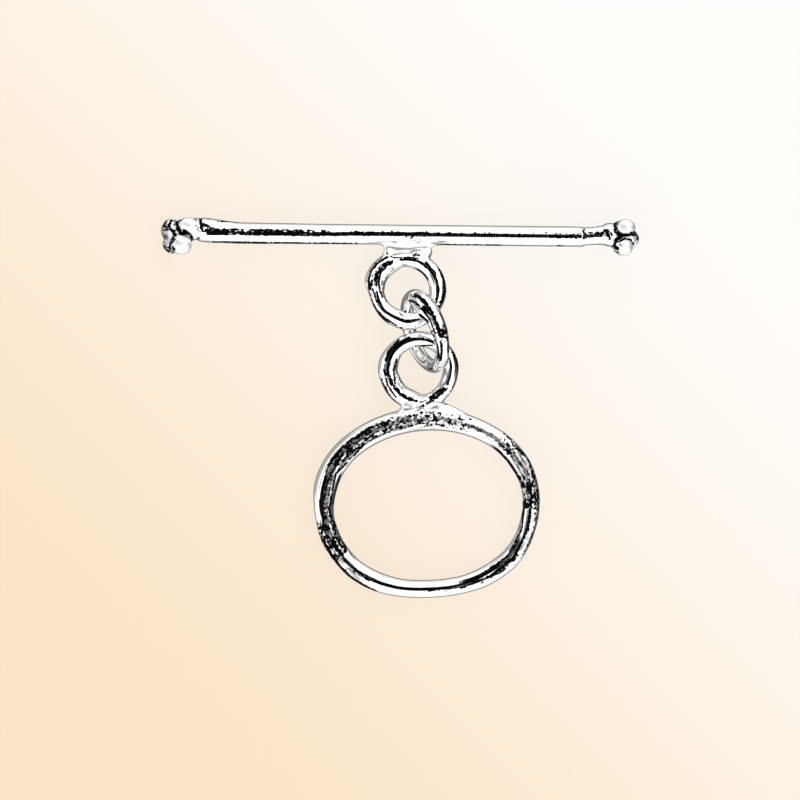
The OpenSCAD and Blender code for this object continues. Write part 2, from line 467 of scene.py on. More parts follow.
def on_circle(middle_y, loop_radius, wire_radius):
    """A function that gives (x, y) for an angle round a loop and a distance outwards in wire radii."""

    def place(degrees, out):
        x, y = heading(degrees)
        reach = loop_radius + out * wire_radius
        return reach * x, middle_y + reach * y

    return place


def lay(obj, tilt, turn, at):
    """Tilts a flat piece about its own x, turns it on the table and puts its middle in place."""
    edit(obj)
    bpy.ops.transform.rotate(value=-tilt, orient_axis="X", center_override=(0, 0, 0))
    bpy.ops.transform.rotate(value=-turn, orient_axis="Z", center_override=(0, 0, 0))
    bpy.ops.transform.translate(value=at)
    rest()


def finish(obj, node, material):
    """Brings a piece to real size, gives it its finish and lets it stand for its node."""
    pick(obj)
    obj.vertex_groups.clear()
    if "weight" in obj.data.attributes:
        obj.data.attributes.remove(obj.data.attributes["weight"])
    obj.scale = (MM, MM, MM)
    bpy.ops.object.transform_apply(location=True, rotation=True, scale=True)
    bpy.ops.object.shade_smooth()
    obj.data.materials.clear()
    obj.data.materials.append(material)
    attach(obj, "root")
    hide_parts(node)


# Materials


def shader_node(tree, kind, inputs=None, **settings):
    node = tree.nodes.new("ShaderNode" + kind)
    for name, value in settings.items():
        setattr(node, name, value)
    for key, value in (inputs or {}).items():
        if isinstance(value, NodeSocket):
            tree.links.new(value, node.inputs[key])
        else:
            node.inputs[key].default_value = value
    return node


def fresh_tree(owner):
    """The emptied node tree of a material or a world."""
    owner.use_nodes = True
    owner.node_tree.nodes.clear()
    return owner.node_tree


def math_node(tree, operation, *values):
    node = shader_node(tree, "Math", dict(enumerate(values)), operation=operation)
    return node.outputs["Value"]


def blend(tree, factor, a, b, kind="FLOAT"):
    """From a to b as the factor goes from 0 to 1. The kind for colours is RGBA."""
    inputs = {"Factor": factor, "A": a, "B": b}
    return shader_node(tree, "Mix", inputs, data_type=kind).outputs["Result"]


def ramp(tree, value, start, end, low=0.0, high=1.0, kind="LINEAR"):
    """Low at start and high at end, and beyond them too. The start may be above the end."""
    inputs = {"Value": value, "From Min": start, "From Max": end, "To Min": low, "To Max": high}
    return shader_node(tree, "MapRange", inputs, interpolation_type=kind).outputs["Result"]


def smooth_step(tree, value, start, end):
    return ramp(tree, value, start, end, kind="SMOOTHSTEP")


# How far, in millimetres, the finest marks rise, and how strongly they show on clean and on worn silver
MARK_HEIGHT = 0.02
MARKS_CLEAN, MARKS_WORN = 0.1, 0.35


def silver_material(settings):
    """Polished silver with fine marks along its wires, frosted balls, duller solder and black recesses,
    with dark lines painted on as reflections and grey painted on as shade.
    """
    material = bpy.data.materials.get("silver") or bpy.data.materials.new("silver")
    tree = fresh_tree(material)

    def noise(vector, scale, detail, roughness):
        inputs = {"Vector": vector, "Scale": scale, "Detail": detail, "Roughness": roughness}
        return shader_node(tree, "TexNoise", inputs).outputs["Fac"]

    def scaled(vector, *scale):
        return shader_node(tree, "Mapping", {"Vector": vector, "Scale": scale}).outputs["Vector"]

    recess, solder, frost, stain_and_painted_reflection, film_and_painted_shade = (
        shader_node(tree, "Attribute", attribute_name=name).outputs["Fac"]
        for name in ("recess", "solder", "frost", "stain_and_painted_reflection", "film_and_painted_shade")
    )
    wire = shader_node(tree, "Attribute", attribute_name="wire").outputs["Vector"]
    place = shader_node(tree, "TexCoord").outputs["Object"]
    in_mm = scaled(place, 1 / MM, 1 / MM, 1 / MM)
    cloudy = noise(in_mm, 0.9, 5.0, 0.6)
    fine = noise(in_mm, 5.0, 1.6, 0.5)
    patches = noise(in_mm, 1.6, 2.0, 0.5)
    streaks = noise(scaled(wire, 1.2, 16.0, 1.0), 1.0, 3.0, 0.6)
    gouges = noise(scaled(wire, 1.5, 7.0, 1.0), 1.0, 2.0, 0.5)

    # Where the stain (real stains and cracks together with dark lines painted as reflections) or the recess
    # is high, the black covers more of the grain until it closes
    patchy = math_node(tree, "MULTIPLY", stain_and_painted_reflection, ramp(tree, patches, 0.35, 0.6, 0.84, 1.06))
    cover = math_node(tree, "MULTIPLY_ADD", math_node(tree, "MAXIMUM", patchy, recess), 0.6, 0.14)
    # The grain lies along the wire where the haze is high, and the haze, grey painted as shade over a grey
    # tarnish film, adds grey in gouges
    grainy = blend(tree, math_node(tree, "MULTIPLY_ADD", film_and_painted_shade, 0.7, 0.1), fine, gouges)
    black = ramp(tree, math_node(tree, "SUBTRACT", cover, grainy), -0.02, 0.03)
    grey_film_and_painted_shade = math_node(tree, "MULTIPLY", film_and_painted_shade, ramp(tree, gouges, 0.42, 0.62, 1.1, 0.3))
    black = math_node(tree, "MAXIMUM", black, grey_film_and_painted_shade)

    duller = (*[channel * 0.97 for channel in settings.silver], 1)
    silver = blend(tree, cloudy, duller, (*settings.silver, 1), "RGBA")
    # The black paints real tarnish and, along the painted lines, dark reflections
    base = blend(tree, black, silver, (*settings.tarnish_and_painted_reflection, 1), "RGBA")

    rough = ramp(tree, cloudy, 0.3, 0.7, settings.polish * 0.6, settings.polish * 1.6)
    rough = blend(tree, solder, rough, settings.solder_roughness)
    rough = blend(tree, frost, rough, settings.frost)
    rough = blend(tree, black, rough, 0.5)

    height = blend(tree, 0.6, fine, streaks)
    strength = blend(tree, math_node(tree, "MAXIMUM", stain_and_painted_reflection, frost), MARKS_CLEAN, MARKS_WORN)
    inputs = {"Height": height, "Strength": strength, "Distance": MARK_HEIGHT * MM}
    bump = shader_node(tree, "Bump", inputs).outputs["Normal"]
    inputs = {"Base Color": base, "Metallic": 1.0, "Roughness": rough, "Normal": bump}
    surface = shader_node(tree, "BsdfPrincipled", inputs)
    shader_node(tree, "OutputMaterial", {"Surface": surface.outputs["BSDF"]})
    return material


# The bar


# Sections of each rod end from the plain rod outwards: step along the rod and width, in rod diameters
LEFT_END = [(0.25, 1.02), (0.45, 1.06), (0.45, 1.12), (0.35, 1.17), (0.3, 1.19)]
RIGHT_END = [(0.06, 0.9), (0.3, 0.89), (0.45, 0.93), (0.25, 1.0), (0.2, 1.1), (0.14, 1.18)]
# Length of each rod end in rod diameters, up to the middle of its flare
LEFT_NECK, RIGHT_NECK = 1.8, 1.4

# Balls of each cluster, in ball radii from the middle of the flare: outwards, across away from
# the loop, and up, then how each is stretched and turned
LEFT_BALLS = [
    ((1.5, 0.33, 0.46), (1.15, 0.89, 1), 8),
    ((2.3, -1.52, 0.6), (1.14, 1.02, 1), 16),
    ((3.3, -0.06, 0.12), (1.02, 1.18, 1), 6),
    ((3.2, -1.42, -0.95), (1.02, 0.97, 1), 30),
    ((2.62, -0.62, -0.2), (1.5, 1.7, 0.95), 0),
    ((0.8, 0.08, -0.05), (1.15, 1.12, 1), 0),
]
RIGHT_BALLS = [
    ((1.5, 0.66, 0.42), (1.05, 0.94, 1), -12),
    ((1.26, -1.22, 0.42), (1.05, 0.9, 1), 14),
    ((2.03, -0.38, -0.85), (0.97, 0.95, 1), 0),
    ((0.6, -0.3, -0.9), (1, 1, 1), 0),
    ((1.2, -0.1, -0.15), (1.45, 1.6, 0.95), 0),
]

# How far the loop sits to the right of the bar's middle
LOOP_ASIDE = 0.43
# The bar's voxels beside those of the other pieces, finer for the small balls
BAR_VOXELS = 0.92
# Where the loop is hammered out: angle, full within and none beyond in degrees, and more radius
BAR_LOOP_THICK = [(145, 25, 45, 0.14), (255, 15, 45, 0.07), (30, 30, 60, 0.06)]
# Where it is bent: part of the wire, angle, full within, none beyond, and how far (x, y, z)
BAR_LOOP_BENT = [
    ("outer", 145, 18, 40, (-0.12, 0.08, 0)),
    ("upper", 150, 28, 50, (0, 0, -0.17)),
    ("all", 222, 25, 60, (0.12, 0.11, 0)),
]
# Drops of solder round the loop's foot: middle, half widths and turn
BAR_SOLDER = [
    ((0.09, -0.66, 0), (1.85, 0.16, 0.26), 0),
    ((-1.12, -1.2, 0), (0.42, 0.34, 0.3), 42),
    ((1.2, -1.22, 0), (0.5, 0.32, 0.3), -38),
    ((0.72, -1.25, 0.1), (0.55, 0.34, 0.4), -14),
]
# Where solder or wire has cracked and where the balls meet: depth, half width, darkness and points (x, y)
CREASES = [
    (0.07, 0.17, 0.95, [(-12.92, 0.95), (-12.86, 0.5), (-12.78, 0.12)]),
    (0.05, 0.14, 0.9, [(-12.86, 0.5), (-12.6, 0.36), (-12.42, 0.3)]),
    (0.08, 0.17, 0.95, [(-14.07, 0.82), (-14.35, 0.59), (-14.29, 0.22), (-14.07, -0.12), (-13.82, -0.09)]),
    (0.07, 0.15, 0.95, [(-14.69, 0.68), (-14.85, 0.4), (-14.69, 0.09), (-14.44, -0.25), (-14.69, -0.53)]),
    (0.09, 0.16, 0.95, [(-13.88, 0.01), (-13.54, -0.18), (-13.41, -0.46)]),
    (0.07, 0.15, 0.9, [(-14.5, -0.53), (-14.82, -0.88), (-14.63, -1.28)]),
    (0.05, 0.14, 0.85, [(-15.22, -0.79), (-15.04, -1.1), (-14.75, -1.22)]),
    (0.04, 0.12, 0.85, [(-15.02, 0.65), (-15.22, 0.34), (-14.95, 0.27)]),
    (0.04, 0.12, 0.9, [(-14.97, 0.11), (-14.71, 0.1), (-14.42, -0.14)]),
    (0.09, 0.17, 0.95, [(13, 0.96), (13, 0.26), (13.43, 0.04), (13.87, 0.08), (14.34, 0.33)]),
    (0.09, 0.16, 0.95, [(13.37, 0.01), (13.09, -0.27), (12.9, -0.62), (13.12, -0.84)]),
    (0.07, 0.13, 0.9, [(13.18, -0.4), (13.59, -0.14), (13.96, -0.2), (14.18, -0.42)]),
    (0.06, 0.2, 0.95, [(14.15, 0.12), (14.42, 0.22), (14.48, -0.04)]),
    (0.03, 0.12, 0.85, [(11, 0.67), (11.1, 0.44), (10.97, 0.26), (11.1, 0.02), (11, -0.2)]),
    (0.03, 0.16, 0.95, [(12.09, 0.06), (12.34, 0.34), (12.5, 0.19), (12.62, -0.19)]),
]
# Dark lines painted along the rod as reflections of dark surroundings: darkness, half width and points (x,
# y)
ROD_PAINTED_REFLECTIONS = [
    (0.9, 0.19, [(-12.2, -0.12), (-7, -0.1), (-2, -0.02), (0.6, 0)]),
    (0.9, 0.15, [(0.6, 0), (5, -0.03), (10.8, -0.12)]),
    (0.6, 0.15, [(-0.1, -0.24), (0.35, -0.26)]),
    (0.85, 0.08, [(-12.1, -0.6), (-8, -0.61), (-3.1, -0.61)]),
    (0.75, 0.07, [(1.9, -0.6), (3.3, -0.61), (5.9, -0.61)]),
    (0.7, 0.07, [(9.4, -0.6), (9.9, -0.6)]),
    (0.8, 0.1, [(-11.8, 0.67), (-9.3, 0.66)]),
    (0.6, 0.06, [(9.2, 0.61), (10.9, 0.61)]),
]
# Grey haze on the balls at the left end, grey painted as shade over a grey film, likewise
BAR_FILM_AND_PAINTED_SHADE = [(0.84, 0.5, [(-15.2, 0.5), (-15.3, 0.0), (-15.15, -0.5)])]
# Dark lines painted along the loop's wire as reflections of dark surroundings: darkness, half width and
# points (angle, outwards in wire radii)
BAR_LOOP_PAINTED_REFLECTIONS = [
    (0.95, 0.13, [(342, -0.05), (360, 0.07), (390, 0.2), (415, 0.3)]),
    (0.85, 0.1, [(62, 0.4), (82, 0.16), (95, 0.11), (110, 0.33), (116, 0.77)]),
    (0.75, 0.2, [(47, -0.1), (58, -0.2)]),
    (0.9, 0.13, [(120, 0.85), (135, 1), (152, 1.15), (167, 0.95), (180, 0.45)]),
    (0.95, 0.11, [(165, 0.57), (178, 0.3), (200, 0.03), (225, -0.11), (250, -0.11), (275, -0.04),
                  (296, 0.16)]),
    (0.8, 0.09, [(172, 0.9), (190, 0.7), (215, 0.52), (235, 0.49), (250, 0.62), (264, 0.9)]),
    (0.9, 0.12, [(116, 0.05), (132, -0.08), (148, -0.1), (168, -0.45), (182, -0.65), (197, -0.88)]),
    (0.9, 0.16, [(332, 0.6), (346, 0.78), (360, 0.9), (376, 0.95), (392, 1)]),
]


def rod_end(rod, size, side, sections, neck):
    """Draws out one end of the rod through its sections and bends it."""
    start = side * (size.rod_length / 2 - neck * size.rod_width)
    edit(rod, lambda middle, normal: normal.x * side > 0.9 and abs(middle.x - start) < 0.01)
    x, width = start, 1.0
    for step, new_width in sections:
        move = side * step * size.rod_width
        bpy.ops.mesh.extrude_region_move(TRANSFORM_OT_translate={"value": (move, 0, 0)})
        x += move
        k = new_width / width
        bpy.ops.transform.resize(value=(1, k, k), center_override=(x, 0, 0))
        width = new_width
    rest()
    edit(rod, lambda middle, normal: (middle.x - start) * side > 0.001)
    bpy.ops.transform.rotate(value=-side * size.end_bend, orient_axis="Z", center_override=(start, 0, 0))
    rest()


def add_rod(size):
    left = -(size.rod_length / 2 - LEFT_NECK * size.rod_width)
    right = size.rod_length / 2 - RIGHT_NECK * size.rod_width
    bpy.ops.mesh.primitive_cylinder_add(
        vertices=48,
        radius=size.rod_width / 2,
        depth=right - left,
        location=((left + right) / 2, 0, 0),
        rotation=(0, math.radians(90), 0),
    )
    rod = added()
    rod_end(rod, size, -1, LEFT_END, LEFT_NECK)
    rod_end(rod, size, 1, RIGHT_END, RIGHT_NECK)
    return rod


def flare_middle(size, side, neck):
    start = side * (size.rod_length / 2 - neck * size.rod_width)
    reach = neck * size.rod_width
    return Vector((start + side * reach * math.cos(size.end_bend), reach * math.sin(size.end_bend), 0))


def add_cluster(size, side, neck, balls):
    """The flare's round end and the balls that are melted onto it."""
    radius = size.ball_width / 2
    flare = flare_middle(size, side, neck)
    parts = [add_ball(flare, size.flare_width / 2)]
    for (out, across, up), squash, turn in balls:
        # The balls keep their height above the table when the bar is tilted
        height = radius * up
        y = across * radius + height * math.sin(size.tilt)
        middle = flare + Vector((side * out * radius, y, height * math.cos(size.tilt)))
        parts.append(add_ball(middle, radius, squash, math.radians(turn)))
    return parts


def bar_shape(size):
    """Radii and places of the bar's rod, loop and solder."""
    rod_r = size.rod_width / 2
    wire_r = size.loop_wire / 2
    loop_r = size.loop_inside / 2 + wire_r
    return SimpleNamespace(
        rod_r=rod_r,
        rod_end=size.rod_length / 2,
        wire_r=wire_r,
        loop_r=loop_r,
        loop_y=-(rod_r + size.loop_gap + wire_r + loop_r),
        solder_y=-(rod_r + size.loop_gap / 2),
        solder_half=size.solder_width / 2,
    )


def from_bar_solder(co, shape):
    """Distance of each point from the line of solder between rod and loop."""
    half, y = shape.solder_half, shape.solder_y
    return near_segment(co, (-half, y, 0), (half, y, 0))


def work_bar(bar, shape):
    """Thickens, cracks, hammers and pits the bar. Returns the darkness of its cracks and of a band along
    its top, which is painted as a reflection of the dark opening overhead and is darker over the pitted
    left.
    """
    co = places(bar)
    x, y = co[:, 0], co[:, 1]
    on_rod = hat(y, 0.9, 1.3)
    left = rise(-x, 2.5, 4) * on_rod
    ends = rise(np.abs(x), shape.rod_end - 1.5, 0.6)
    # The rod swells a little towards its left end, but not its balls
    swollen = rise(-x, 4.5, 5) * rise(x, -shape.rod_end - 0.5, 1.2) * on_rod
    thicken(bar, swollen, reach=0.04)
    cracks = crease(bar, CREASES, lowest=-0.5)
    # A dark band painted along the top of the rod as the reflection of the dark opening overhead, darker
    # where the left is worn and pitted
    top_line = hat(y, 0.14, 0.3) * (co[:, 2] > 0)
    loop_left = sector(around(co, (0, shape.loop_y)), 145, 20, 35) * hat(y - shape.loop_y, 2.3, 2.6)
    hammer(bar, 0.3 + 0.7 * np.maximum(left, ends))
    pit(bar, np.maximum(left * (0.2 + 0.8 * top_line), 0.7 * loop_left) + 0.3 * ends, depth=0.05)
    return cracks, np.maximum(0.75 * left, 0.5 * on_rod) * top_line


def mark_bar(bar, shape, cracks, top_amount):
    """Writes the bar's finish: black cracks, dark lines and a top band painted as reflections, grey painted
    as shade over grey tarnish, dull solder and frosted balls.
    """
    co = places(bar)
    x, y = co[:, 0], co[:, 1]
    middle = (0, shape.loop_y)
    clusters = rise(np.abs(x), shape.rod_end + 0.45, 0.25)
    solder = hat(from_bar_solder(co, shape), 0.3, 0.75)
    film_and_painted_shade = draw_lines(co, BAR_FILM_AND_PAINTED_SHADE)
    out = np.hypot(x, y - shape.loop_y) - shape.loop_r
    shoulder = sector(around(co, middle), 143, 14, 26) * hat(out - 0.33, 0.1, 0.25) * (co[:, 2] > 0)
    plain_rod = np.abs(x + 0.75) < 11.75
    right_neck = hat(x - 11.65, 0.3, 0.65) * hat(y - 0.1, 0.12, 0.26)
    outer_left_balls = rise(-x, shape.rod_end + 1.4, 0.4)
    # The stain: real cracks, with the dark lines and the top band that are painted as reflections of dark
    # surroundings
    stain_and_painted_reflection = most(
        np.maximum(top_amount, draw_lines(co, ROD_PAINTED_REFLECTIONS)) * plain_rod,
        0.72 * right_neck,
        0.6 * outer_left_balls * (1 - film_and_painted_shade),
        cracks,
        draw_lines(co, BAR_LOOP_PAINTED_REFLECTIONS, on_circle(shape.loop_y, shape.loop_r, shape.wire_r)),
        0.3 * shoulder,
    )
    on_rod = y > -shape.rod_r - 0.1
    along, across = round_loop(co, shape.loop_y, shape.loop_r)
    wire = np.where(on_rod, x, along), np.where(on_rod, np.arctan2(co[:, 2], y) * ROD_SKIN, across)
    finish_marks(bar, wire, solder, clusters, stain_and_painted_reflection, film_and_painted_shade, 1 - np.maximum(0.85 * solder, 0.6 * clusters))


class CLASP_OT_bar(Operator):
    """Models the bar: rod, flared ends, clusters of balls, loop and solder, melted together"""

    bl_idname = "clasp.bar"
    bl_label = "Bar"

    def execute(self, context):
        size = millimetres(context.scene.clasp_bar)
        shape = bar_shape(size)
        web_size = (size.solder_width - 0.2, size.loop_gap + 0.7, 0.3)
        parts = [
            add_rod(size),
            add_loop(shape.loop_y, shape.loop_r, shape.wire_r, BAR_LOOP_THICK, BAR_LOOP_BENT),
            add_slab((0.07, shape.solder_y, 0), web_size, rounding=0.08),
            *add_drops(BAR_SOLDER),
            *add_cluster(size, -1, LEFT_NECK, LEFT_BALLS),
            *add_cluster(size, 1, RIGHT_NECK, RIGHT_BALLS),
        ]
        bar = join(parts, "bar")
        fuse(bar, millimetres(context.scene.clasp_finish).voxel * BAR_VOXELS)
        melt(bar, hat(from_bar_solder(places(bar), shape), 0.6, 1.2), rounds=60)
        melt(bar, rise(np.abs(places(bar)[:, 0]), shape.rod_end - 0.2, 0.3), rounds=6)
        mark_bar(bar, shape, *work_bar(bar, shape))
        reach = -shape.loop_y + shape.loop_r + shape.wire_r
        at = (
            (BAR_LOW.x + BAR_HIGH.x) / 2 + LOOP_ASIDE,
            BAR_LOW.y + reach * math.cos(size.tilt),
            size.ball_width,
        )
        lay(bar, size.tilt, size.turn, at)
        finish(bar, "toggle_bar", silver_material(context.scene.clasp_finish))
        return {"FINISHED"}


# The jump ring


# The arm that lies on top is thicker, towards the inside: angle, full within, none beyond, more
# radius, and how far inwards (x, y, z)
UPPER_ARM = (288, 22, 52)
ARM_MORE, ARM_INWARDS = 0.11, (-0.039, 0.119, 0)
# Over the bar's loop it is wider, towards the arm below
ARM_WIDE = (320, 18, 42)
ARM_SIDEWAYS = (0, 0.1, 0.24)
# Dark lines painted along the drawn wire as reflections of dark surroundings: angle aside from its
# uppermost side and half width, both in radians, then the middle of the line and its reach both ways, as
# angles round the ring in degrees
LINK_PAINTED_REFLECTIONS = [
    (0.13, 0.48, 294, 36),
    (0.19, 0.36, 262, 44),
    (-1, 0.24, 259, 24),
    (0.82, 0.2, 300, 40),
    (-0.9, 0.13, 292, 25),
    (-0.38, 0.5, 258, 3),
]


def add_link(size, ring_r, wire_r):
    """The jump ring's wire, bent round from one side of its cut to the other, with broken edges."""
    cut = 2 * math.asin(size.cut / 2 / (ring_r - wire_r))
    start = -size.cut_at - cut / 2
    bpy.ops.mesh.primitive_circle_add(
        vertices=40,
        radius=wire_r,
        fill_type="NGON",
        location=(ring_r * math.cos(start), ring_r * math.sin(start), 0),
        rotation=(math.radians(90), 0, start),
    )
    link = added()
    edit(link)
    bpy.ops.mesh.spin(steps=180, angle=-(2 * math.pi - cut), center=(0, 0, 0), axis=(0, 0, 1))
    merge_doubles(0.0001)
    modify(link, "BEVEL", width=0.03, segments=2, limit_method="ANGLE", angle_limit=math.radians(50))
    modify(link, "SUBSURF", levels=1, render_levels=1)
    return link


def mark_link(link, lean, co, ring_r, wire_r, seam):
    """Writes the jump ring's finish: black lines painted along its upper side as reflections of dark
    surroundings, and a dull, black seam.
    """
    angles = around(co)
    across = np.arctan2(co[:, 2], np.hypot(co[:, 0], co[:, 1]) - ring_r)
    uppermost = np.arctan2(math.cos(lean), -np.sin(np.radians(angles)) * math.sin(lean))
    line = np.zeros(len(co))
    for aside, width, at, reach in LINK_PAINTED_REFLECTIONS:
        off = (across - uppermost - aside + math.pi) % (2 * math.pi) - math.pi
        line = np.maximum(line, hat(off, width * 0.4, width) * sector(angles, at, reach, reach + 12))
    wire = np.radians(angles) * ring_r, across * wire_r
    finish_marks(link, wire, 0.3 * seam, 0 * seam, np.maximum(0.9 * line, 0.55 * seam), 0 * seam)


class CLASP_OT_link(Operator):
    """Models the jump ring: a wire bent round, cut through and closed"""

    bl_idname = "clasp.link"
    bl_label = "Jump ring"

    def execute(self, context):
        size = millimetres(context.scene.clasp_link)
        wire_r = size.wire / 2
        ring_r = size.inside / 2 + wire_r
        link = add_link(size, ring_r, wire_r)
        arm = sector(around(places(link)), *UPPER_ARM)
        thicken(link, arm, ARM_MORE)
        push(link, arm, ARM_INWARDS)
        co = places(link)
        push(link, sector(around(co), *ARM_WIDE) * rise(co[:, 2], 0, 0.3), ARM_SIDEWAYS)
        co = places(link)
        seam = sector(around(co), math.degrees(-size.cut_at) % 360, full=5, none=20)
        hammer(link, np.full(len(co), 0.6))
        pit(link, seam, depth=0.05)
        mark_link(link, size.lean, co, ring_r, wire_r, seam)
        edit(link)
        bpy.ops.transform.rotate(value=size.lean, orient_axis="X", center_override=(0, 0, 0))
        bpy.ops.transform.rotate(value=-size.direction, orient_axis="Z", center_override=(0, 0, 0))
        bpy.ops.transform.translate(value=(LINK_LOW + LINK_HIGH) / 2)
        rest()
        link.name = link.data.name = "jump_ring"
        finish(link, "connecting_link", silver_material(context.scene.clasp_finish))
        return {"FINISHED"}


# The oval ring


def oval_shape(size):
    """Half height, radii and arc centres of the middle line of the oval wire, and those of its loop."""
    wire_r = size.wire / 2
    a = size.opening_width / 2 + wire_r
    b = size.opening_height / 2 + wire_r
    end_r = size.opening_end + wire_r
    flank_r = (a * a + b * b - 2 * a * end_r) / (2 * (b - end_r))
    end_x, flank_y = a - end_r, flank_r - b
    end_half = math.atan2(flank_y, end_x)
    loop_wire_r = size.loop_wire / 2
    loop_r = size.loop_inside / 2 + loop_wire_r
    loop_y = b + wire_r + loop_wire_r + loop_r - size.loop_sink

    def place(degrees, out):
        """(x, y) for the direction outwards in degrees and a distance outwards in wire radii."""
        x, y = heading(degrees)
        if abs(y) <= math.sin(end_half):
            reach = end_r + out * wire_r
            return math.copysign(end_x, x) + reach * x, reach * y
        reach = flank_r + out * wire_r
        return reach * x, reach * y - math.copysign(flank_y, y)

    return SimpleNamespace(
        b=b, end_r=end_r, flank_r=flank_r, end_x=end_x, flank_y=flank_y, end_half=end_half, wire_r=wire_r,
        top=b + wire_r, loop_wire_r=loop_wire_r, loop_r=loop_r, loop_y=loop_y, place=place,
    )


# Radius at which the length along the oval's wire is measured, in millimetres
OVAL_MEAN_RADIUS = 6


def add_oval(shape):
    """Sweeps the round section of the wire about the four centres of the oval, one after the other."""
    start = shape.end_half
    bpy.ops.mesh.primitive_circle_add(
        vertices=40,
        radius=shape.wire_r,
        location=(shape.end_x + shape.end_r * math.cos(start), -shape.end_r * math.sin(start), 0),
        rotation=(math.radians(90), 0, -start),
    )
    oval = added()
    edit(oval)
    flank = math.pi - 2 * start
    arcs = [
        ((shape.end_x, 0), 2 * start),
        ((0, -shape.flank_y), flank),
        ((-shape.end_x, 0), 2 * start),
        ((0, shape.flank_y), flank),
    ]
    for (x, y), turn in arcs:
        steps = round(math.degrees(turn) / 2.5)
        bpy.ops.mesh.spin(steps=steps, angle=-turn, center=(x, y, 0), axis=(0, 0, 1))
    merge_doubles(0.001)
    return oval


def on_oval(co, shape):
    """Where each point lies on the oval: the angle of the outward direction there, in degrees, and its
    distance outwards from the middle line of the wire, in wire radii."""
    x, y = co[:, 0], co[:, 1]
    right = np.where(x >= 0, 1, -1)
    end_angle = np.arctan2(y, (x - right * shape.end_x) * right)
    at_end = np.abs(end_angle) <= shape.end_half
    above = np.where(y >= 0, 1, -1)
    centre_x = np.where(at_end, right * shape.end_x, 0)
    centre_y = np.where(at_end, 0, -above * shape.flank_y)
    out = np.hypot(x - centre_x, y - centre_y) - np.where(at_end, shape.end_r, shape.flank_r)
    return np.degrees(np.arctan2(y - centre_y, x - centre_x)) % 360, out / shape.wire_r


# The hand-made oval. Each row starts with an angle round it, full within and none beyond, in degrees.
# How much thicker its radius is
OVAL_THICK = [(125, 30, 68, 0.13), (350, 15, 40, -0.07), (270, 12, 26, -0.055), (180, 5, 15, -0.03)]
# How far it is bent outwards
OVAL_BENT = [(243, 0, 36, 0.17), (303, 5, 42, 0.22), (355, 15, 45, 0.06), (182, 4, 28, -0.04)]
# Between which lines across the wire, in wire radii, it is worn flat, and how far
OVAL_WORN = [(128, 18, 34, -0.6, 0.55, 0.24), (160, 22, 36, -0.5, 0.5, 0.1), (320, 25, 42, -0.1, 0.6, 0.07)]
# Between which lines across the wire it is rough and stained, and how much
OVAL_ROUGH = [
    (6, 12, 20, -1.2, 1.2, 1, 0.68),
    (32, 16, 26, -0.5, 0.7, 0.8, 0.62),
    (62, 12, 22, -0.3, 0.3, 0.5, 0.44),
    (88, 18, 26, -0.75, 0.85, 1, 0.6),
    (108, 8, 16, -0.6, 0.7, 0.9, 0.66),
    (128, 15, 24, -0.55, 0.7, 0.8, 0.67),
    (165, 22, 34, -0.6, 0.05, 0.7, 0.57),
    (204, 12, 22, -1.2, 1.2, 0.9, 0.7),
    (224, 14, 24, -0.2, 0.6, 0.5, 0.5),
    (308, 7, 36, -0.1, 0.5, 0.3, 0.64),
    (338, 14, 30, 0.1, 0.8, 0.5, 0.5),
]
# Dark lines painted along it as reflections of dark surroundings: darkness, half width and points (angle,
# outwards in wire radii)
OVAL_PAINTED_REFLECTIONS = [
    (0.75, 0.12, [(0, 0.93), (28, 0.95), (52, 0.95)]),
    (0.95, 0.13, [(17, -0.8), (33, -0.82), (48, -0.8)]),
    (0.9, 0.11, [(38, -0.15), (50, -0.2)]),
    (0.97, 0.14, [(113, 0.62), (130, 0.6), (147, 0.58)]),
    (0.95, 0.13, [(138, 0), (157, -0.02), (175, 0.1), (194, 0.4)]),
    (0.85, 0.12, [(118, -0.5), (150, -0.52), (180, -0.55), (196, -0.7)]),
    (0.9, 0.12, [(150, -1), (175, -1)]),
    (0.9, 0.15, [(200, 0.82), (215, 0.84), (232, 0.88), (246, 0.95)]),
    (0.9, 0.14, [(208, -0.05), (224, 0), (242, 0.12)]),
    (0.75, 0.08, [(266, 0.24), (286, 0.24)]),
    (0.85, 0.12, [(283, 0.22), (299, 0.18)]),
    (0.9, 0.16, [(297, 0.17), (315, 0.1), (336, 0.08), (362, 0.08)]),
    (0.85, 0.11, [(293, -0.42), (312, -0.45), (335, -0.5), (360, -0.65)]),
    (0.6, 0.1, [(325, 0.9), (345, 0.92), (360, 0.93)]),
]
# Grey haze over its rough stretches, grey painted as shade over a grey film, likewise
OVAL_FILM_AND_PAINTED_SHADE = [
    (0.84, 0.55, [(3, 0), (18, 0.05), (34, 0.1)]),
    (0.5, 0.35, [(34, 0.1), (60, 0)]),
    (0.42, 0.4, [(74, 0), (108, 0)]),
    (0.62, 0.5, [(112, 0.1), (130, 0.12), (150, 0.15)]),
    (0.4, 0.3, [(152, -0.3), (188, -0.4)]),
    (0.8, 0.55, [(190, 0), (216, 0.2)]),
    (0.62, 0.35, [(210, 0.25), (236, 0.4)]),
    (0.55, 0.14, [(276, 0.22), (294, 0.26)]),
    (0.6, 0.3, [(298, 0.3), (330, 0.28)]),
    (0.6, 0.2, [(335, -0.75), (362, -0.8)]),
]


# Where the ring's loop is hammered out and bent, with the columns of the bar's loop
RING_LOOP_THICK = [(205, 40, 75, 0.13)]
RING_LOOP_BENT = [("all", 225, 25, 55, (0.09, 0.09, 0)), ("all", 330, 15, 40, (-0.06, 0.03, 0))]
# Drops of solder at the foot of the ring's loop: middle, half widths and turn
RING_SOLDER = [
    ((1.6, 5.62, 0), (2, 0.52, 0.42), 27),
    ((-0.75, 5.95, 0), (0.8, 0.35, 0.4), -12),
]
